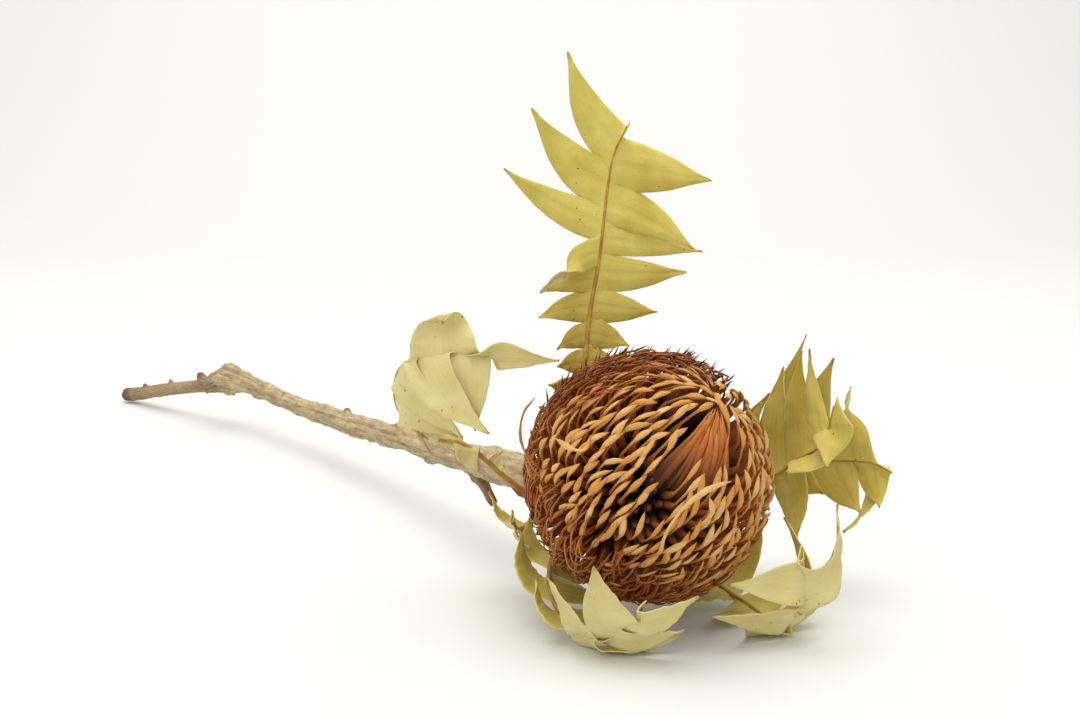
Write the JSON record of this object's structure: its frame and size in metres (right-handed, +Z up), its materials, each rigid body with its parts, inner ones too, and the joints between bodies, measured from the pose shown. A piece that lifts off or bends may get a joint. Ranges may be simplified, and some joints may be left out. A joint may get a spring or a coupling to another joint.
{
  "type": "dried banksia flower",
  "caption": "Dried banksia flower lying on its side: a round head of curled brown flowers, toothed olive leaves curled round its base, and a long cut woody stem.",
  "frame": {"origin": "middle of the bounding box's underside, on the surface that the flower lies on", "axes": "+Z up; +Y along the lying flower, from the head towards the stem's cut end; +X to the right when looking along +Y"},
  "size_m": [0.3516, 0.4238, 0.1792],
  "materials": {
    "stem_bark": "furrowed dry bark",
    "head_axis": "rough dark wood",
    "flowers": "dry and matt",
    "opened_flowers": "dry and matt",
    "leaf": "dry, satin above and felted below"
  },
  "bodies": {
    "root": {"stem": "stem_bark", "head_axis": "head_axis", "back_leaf": "leaf", "far_right_leaf": "leaf", "left_leaf": "leaf", "lower_left_leaf": "leaf", "lower_right_leaf": "leaf", "right_leaf": "leaf", "top_leaf": "leaf", "flowers_1_1": "flowers", "flowers_1_2": "flowers", "flowers_1_3": "flowers", "flowers_1_4": "flowers", "flowers_2_1": "flowers", "flowers_2_2": "flowers", "flowers_2_3": "flowers", "flowers_2_4": "flowers", "flowers_2_5": "flowers", "flowers_2_6": "flowers", "flowers_3_1": "flowers", "flowers_3_2": "flowers", "flowers_3_3": "flowers", "flowers_3_4": "flowers", "flowers_3_5": "flowers", "flowers_3_6": "flowers", "flowers_3_7": "flowers", "flowers_4_1": "flowers", "flowers_4_2": "flowers", "flowers_4_3": "flowers", "flowers_4_4": "flowers", "flowers_4_5": "flowers", "flowers_4_6": "flowers", "flowers_4_7": "flowers", "flowers_4_8": "flowers", "flowers_5_1": "opened_flowers", "flowers_5_2": "opened_flowers", "flowers_5_3": "opened_flowers", "flowers_5_4": "opened_flowers", "flowers_5_5": "opened_flowers", "flowers_5_6": "opened_flowers", "flowers_5_7": "opened_flowers", "flowers_5_8": "opened_flowers", "flowers_6_1": "opened_flowers", "flowers_6_2": "opened_flowers", "flowers_6_3": "opened_flowers", "flowers_6_4": "opened_flowers", "flowers_6_5": "opened_flowers", "flowers_6_6": "opened_flowers", "flowers_6_7": "opened_flowers", "flowers_apex": "flowers"}
  },
  "joints": []
}
